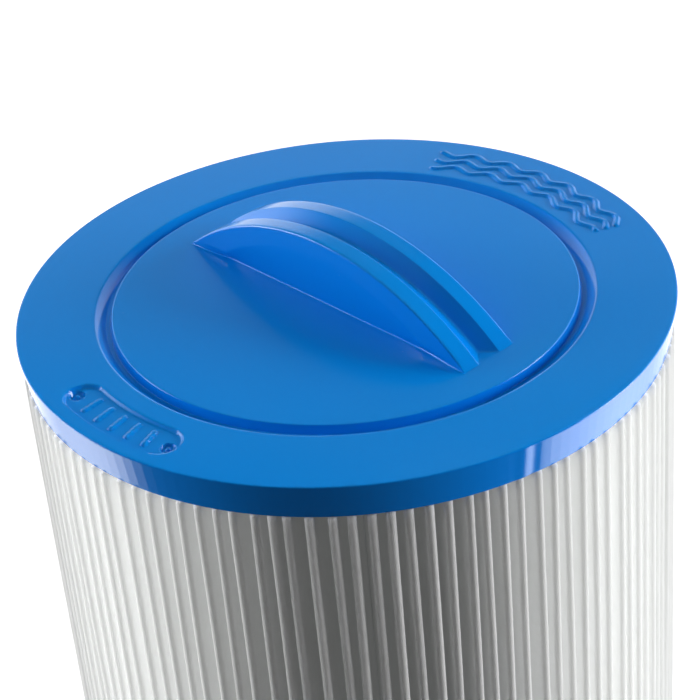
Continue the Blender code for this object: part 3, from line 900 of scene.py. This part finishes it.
def spunbond(name):
    """White spunbond polyester: crossed fibres and cloudy web.

    The studio's side walls shine through the thin folds, and the emission stands for that.
    """
    material, tree, shader, place = new_material(name)
    fibres = None
    for turn in (0.2, 1.25, 2.3):
        along = stretched(tree, place, (0.5 * turn, 0.3, turn), (250.0, 2600.0, 2600.0))
        strand = noise(tree, along, 1.0, 2.0)
        fibres = strand if fibres is None else calc(tree, "MAXIMUM", fibres, strand)
    cloud = noise(tree, place, 2.2 * MM, 4.0, 0.6)
    broad = noise(tree, place, 30 * MM, 2.0)
    tone = blend(tree, ramp(tree, cloud, 0.3, 0.7, 0.0, 1.0), (0.875, 0.88, 0.875), (0.91, 0.915, 0.915))
    tone = blend(tree, ramp(tree, fibres, 0.5, 0.8, 0.0, 0.35), tone, (0.93, 0.93, 0.93))
    tone = blend(tree, ramp(tree, broad, 0.35, 0.7, 0.0, 0.3), tone, (0.88, 0.885, 0.87))
    tree.links.new(tone, shader.inputs["Base Color"])
    tree.links.new(ramp(tree, fibres, 0.4, 0.8, 0.95, 0.7), shader.inputs["Roughness"])
    shader.inputs["IOR"].default_value = 1.4
    shader.inputs["Specular IOR Level"].default_value = 0.3
    shader.inputs["Subsurface Weight"].default_value = 0.8
    shader.inputs["Subsurface Radius"].default_value = (1.0, 1.0, 0.95)
    shader.inputs["Subsurface Scale"].default_value = 1.8 * MM
    world_place = tree.nodes.new("ShaderNodeNewGeometry").outputs["Position"]
    turned = node(tree, "ShaderNodeVectorRotate", {"Vector": world_place, "Angle": -VIEW_AZIMUTH},
                  rotation_type="Z_AXIS").outputs[0]
    right, ahead, _ = node(tree, "ShaderNodeSeparateXYZ", {"Vector": turned}).outputs
    off = calc(tree, "ABSOLUTE", calc(tree, "ARCTAN2", right, calc(tree, "MULTIPLY", ahead, -1.0)))
    glow = ramp(tree, off, *THROUGH_LIGHT_ANGLES, *THROUGH_LIGHT)
    glow = calc(tree, "MULTIPLY", glow, ramp(tree, off, *THROUGH_LIGHT_END))
    shader.inputs["Emission Color"].default_value = (0.98, 1.0, 0.99, 1.0)
    tree.links.new(glow, shader.inputs["Emission Strength"])
    web = bump(tree, fibres, 0.012 * MM)
    tree.links.new(bump(tree, cloud, 0.03 * MM, web), shader.inputs["Normal"])
    return material


def white_polypropylene(name):
    """Matt white polypropylene core with a soft flow tone and a mould texture."""
    material, tree, shader, place = new_material(name)
    flow = noise(tree, stretched(tree, place, (0.0, 0.0, 0.0), (60.0, 60.0, 12.0)), 1.0, 3.0)
    tree.links.new(blend(tree, flow, (0.74, 0.75, 0.76), (0.84, 0.845, 0.84)), shader.inputs["Base Color"])
    tree.links.new(ramp(tree, noise(tree, place, 5 * MM, 4.0), 0.3, 0.7, 0.36, 0.52),
                   shader.inputs["Roughness"])
    shader.inputs["IOR"].default_value = 1.49
    grain = bump(tree, noise(tree, place, 0.7 * MM, 4.0), 0.02 * MM)
    tree.links.new(grain, shader.inputs["Normal"])
    return material


def cast_polyurethane(name):
    """Cream cast potting with bubbles darkened inside by painted shade, a wavy skin and a cloudy tone."""
    material, tree, shader, place = new_material(name)
    cloud = noise(tree, place, 12 * MM, 4.0)
    tone = blend(tree, cloud, (0.60, 0.55, 0.43), (0.74, 0.70, 0.60))
    cells = node(tree, "ShaderNodeTexVoronoi", {"Vector": place, "Scale": 260.0})
    hole = ramp(tree, cells.outputs["Distance"], 0.10, 0.22, 1.0, 0.0)
    pick = node(tree, "ShaderNodeSeparateColor", {"Color": cells.outputs["Color"]}).outputs[0]
    bubble = calc(tree, "MULTIPLY", hole, ramp(tree, pick, 0.7, 0.74, 0.0, 1.0))
    # Painted shade: the bubble pits are coloured a darker brown, the shade that falls in them.
    tree.links.new(blend(tree, calc(tree, "MULTIPLY", bubble, 0.6), tone, (0.42, 0.37, 0.27)),
                   shader.inputs["Base Color"])
    tree.links.new(ramp(tree, cloud, 0.3, 0.7, 0.30, 0.5), shader.inputs["Roughness"])
    skin = bump(tree, noise(tree, place, 6 * MM, 3.0), 0.25 * MM)
    tree.links.new(bump(tree, calc(tree, "SUBTRACT", 1.0, bubble), 0.25 * MM, skin),
                   shader.inputs["Normal"])
    return material


def hot_melt(name):
    """Milky hot-melt glue, squeezed and rippled along the seam."""
    material, tree, shader, place = new_material(name)
    ripple = noise(tree, stretched(tree, place, (0.0, 0.0, 0.0), (300.0, 300.0, 140.0)), 1.0, 3.0)
    tree.links.new(blend(tree, ripple, (0.78, 0.75, 0.66), (0.88, 0.87, 0.82)),
                   shader.inputs["Base Color"])
    tree.links.new(ramp(tree, ripple, 0.3, 0.7, 0.22, 0.42), shader.inputs["Roughness"])
    tree.links.new(bump(tree, ripple, 0.3 * MM), shader.inputs["Normal"])
    return material


# ---- studio -------------------------------------------------------------------------
def make_world():
    """White walls to the left and right, a dark front and a dim ceiling, white to the camera.

    They are only mirrored by the glossy surfaces. The soft lights light the object.
    """
    world = bpy.data.worlds.new("studio")
    bpy.context.scene.world = world
    world.cycles_visibility.diffuse = False
    world.use_nodes = True
    tree = world.node_tree
    tree.nodes.clear()
    direction = tree.nodes.new("ShaderNodeTexCoord").outputs["Generated"]
    turned = node(tree, "ShaderNodeVectorRotate", {"Vector": direction, "Angle": -VIEW_AZIMUTH},
                  rotation_type="Z_AXIS").outputs[0]
    right, ahead, up = node(tree, "ShaderNodeSeparateXYZ", {"Vector": turned}).outputs
    azimuth = calc(tree, "ARCTAN2", right, calc(tree, "MULTIPLY", ahead, -1.0))
    elevation = calc(tree, "ARCSINE", up)
    under = ramp(tree, elevation, LOW_WALL_LEVEL, 0.0, 1.0, 0.0)
    right_side = calc(tree, "SUBTRACT", azimuth, calc(tree, "MULTIPLY", under, RIGHT_LOW_SHIFT))
    right_wall = ramp(tree, right_side, *RIGHT_WALL_EDGE, 0.0, 1.0)
    left_side = calc(tree, "MULTIPLY", azimuth, -1.0)
    left_side = calc(tree, "SUBTRACT", left_side, calc(tree, "MULTIPLY", under, LEFT_LOW_SHIFT))
    left_wall = ramp(tree, left_side, *LEFT_WALL_EDGE, 0.0, 1.0)
    sides = calc(tree, "ADD", right_wall, left_wall)
    height = ramp(tree, elevation, *WALL_TOP, 1.0, 0.0)
    level = ramp(tree, calc(tree, "ABSOLUTE", azimuth), *BACK_EDGE, WALL_LIGHT, BACK_LIGHT)
    level = calc(tree, "MAXIMUM", level, calc(tree, "MULTIPLY", under, LOW_BACK_LIGHT))
    walls = calc(tree, "MULTIPLY", calc(tree, "MULTIPLY", sides, height), level)
    ceiling = calc(tree, "MULTIPLY", ramp(tree, elevation, *CEILING_EDGE, 0.0, 1.0), CEILING_LIGHT)
    total = calc(tree, "ADD", calc(tree, "ADD", walls, ceiling), FRONT_LIGHT)
    for middle, half_width, low, high, light in PANELS:
        off = calc(tree, "ABSOLUTE", calc(tree, "SUBTRACT", azimuth, middle))
        across = ramp(tree, off, half_width - PANEL_EDGE, half_width + PANEL_EDGE, light, 0.0)
        above = ramp(tree, elevation, low - PANEL_EDGE, low + PANEL_EDGE, 0.0, 1.0)
        below = ramp(tree, elevation, high - PANEL_EDGE, high + PANEL_EDGE, 1.0, 0.0)
        panel = calc(tree, "MULTIPLY", across, calc(tree, "MULTIPLY", above, below))
        total = calc(tree, "ADD", total, panel)
    lit = node(tree, "ShaderNodeBackground", {"Color": (1.0, 1.0, 1.0, 1.0), "Strength": total})
    seen = node(tree, "ShaderNodeBackground", {"Color": (1.0, 1.0, 1.0, 1.0), "Strength": 1.0})
    camera_ray = tree.nodes.new("ShaderNodeLightPath").outputs["Is Camera Ray"]
    mixed = node(tree, "ShaderNodeMixShader", {0: camera_ray})
    tree.links.new(lit.outputs[0], mixed.inputs[1])
    tree.links.new(seen.outputs[0], mixed.inputs[2])
    output = tree.nodes.new("ShaderNodeOutputWorld")
    tree.links.new(mixed.outputs[0], output.inputs["Surface"])


def make_soft_light(name, azimuth, elevation, size, light):
    """Large soft light that is not mirrored."""
    data = bpy.data.lights.new(name, "SUN")
    data.energy = math.pi * light
    data.angle = size
    lamp = bpy.data.objects.new(name, data)
    bpy.context.scene.collection.objects.link(lamp)
    turn = VIEW_AZIMUTH + azimuth
    level = math.cos(elevation)
    towards = Vector((math.sin(turn) * level, -math.cos(turn) * level, math.sin(elevation)))
    lamp.rotation_mode = "QUATERNION"
    lamp.rotation_quaternion = towards.to_track_quat("Z", "Y")
    lamp.visible_glossy = False
    return lamp


def make_soft_lights(plastic):
    """Soft lights all round, the last ones on the plastic pieces only."""
    for index, settings in enumerate(SOFT_LIGHTS):
        make_soft_light(f"soft_light_{index}", *settings)
    receivers = bpy.data.collections.new("lit_plastic")
    for piece in plastic:
        receivers.objects.link(piece)
    for index, settings in enumerate(PLASTIC_LIGHTS):
        lamp = make_soft_light(f"plastic_light_{index}", *settings)
        lamp.light_linking.receiver_collection = receivers


def make_floor():
    """Pale floor that catches soft shadows, does not light the object, and is clear from below."""
    mesh = bpy.data.meshes.new("studio_floor")
    shape = bmesh.new()
    bmesh.ops.create_circle(shape, cap_ends=True, segments=64, radius=FLOOR_RADIUS)
    bmesh.ops.translate(shape, verts=shape.verts, vec=(0.0, 0.0, -FLOOR_GAP))
    shape.to_mesh(mesh)
    shape.free()
    floor = bpy.data.objects.new("studio_floor", mesh)
    bpy.context.scene.collection.objects.link(floor)
    floor.visible_glossy = False
    floor.visible_diffuse = False
    floor.visible_shadow = False
    material, tree, shader, place = new_material("pale_floor")
    tone = blend(tree, noise(tree, place, 300 * MM, 2.0), (0.80, 0.80, 0.80), (0.84, 0.84, 0.84))
    tree.links.new(tone, shader.inputs["Base Color"])
    shader.inputs["Roughness"].default_value = 0.9
    shader.inputs["Specular IOR Level"].default_value = 0.0
    shader.inputs["Emission Color"].default_value = (1.0, 1.0, 1.0, 1.0)
    shader.inputs["Emission Strength"].default_value = FLOOR_GLOW
    below = tree.nodes.new("ShaderNodeNewGeometry").outputs["Backfacing"]
    tree.links.new(calc(tree, "SUBTRACT", 1.0, below), shader.inputs["Alpha"])
    mesh.materials.append(material)


def make_camera():
    """Camera at the viewing angle, aimed a little off the cap's centre and rolled."""
    level = math.cos(VIEW_ELEVATION)
    back = Vector((math.sin(VIEW_AZIMUTH) * level, -math.cos(VIEW_AZIMUTH) * level,
                   math.sin(VIEW_ELEVATION)))
    data = bpy.data.cameras.new("view")
    data.sensor_width = 36.0
    data.lens = VIEW_LENS
    data.clip_start = 0.01
    camera = bpy.data.objects.new("view", data)
    bpy.context.scene.collection.objects.link(camera)
    aim = (-back).to_track_quat("-Z", "Y")
    tilt = Euler((VIEW_PITCH, 0.0, 0.0)).to_quaternion()
    roll = Euler((0.0, 0.0, VIEW_ROLL)).to_quaternion()
    camera.location = Vector((0.0, 0.0, TOP_FACE)) + back * VIEW_DISTANCE
    camera.rotation_mode = "QUATERNION"
    camera.rotation_quaternion = aim @ tilt @ roll
    bpy.context.scene.camera = camera


def finish_pieces():
    """Make the pieces, give every surface its material and return the plastic ones."""
    blue = moulded_plastic("cap_blue_abs", CAP_BLUE, CAP_SHADED_SIDE_BLUE, 0.13, 0.25)
    top = make_top_end_cap()
    bottom = make_bottom_end_cap()
    for cap in (top, bottom):
        cap.data.materials.append(blue)
    spigot = make_spigot()
    spigot.data.materials.append(
        moulded_plastic("spigot_blue_abs", SPIGOT_BLUE, SPIGOT_BLUE, 0.2, 0.3))
    media = make_pleats()
    media.data.materials.append(spunbond("media_spunbond"))
    core = white_polypropylene("core_polypropylene")
    potting = cast_polyurethane("potting_polyurethane")
    glue = hot_melt("seam_hot_melt")
    kept = {"core_lower": core, "core_middle": core, "core_upper": core,
            "top_potting": potting, "bottom_potting": potting, "media_seam": glue}
    for name, material in kept.items():
        for slot in bpy.data.objects[name].material_slots:
            slot.material = material
    return top, bottom, spigot


bpy.context.scene.view_settings.view_transform = "Standard"
plastic = finish_pieces()
make_world()
make_soft_lights(plastic)
make_floor()
make_camera()
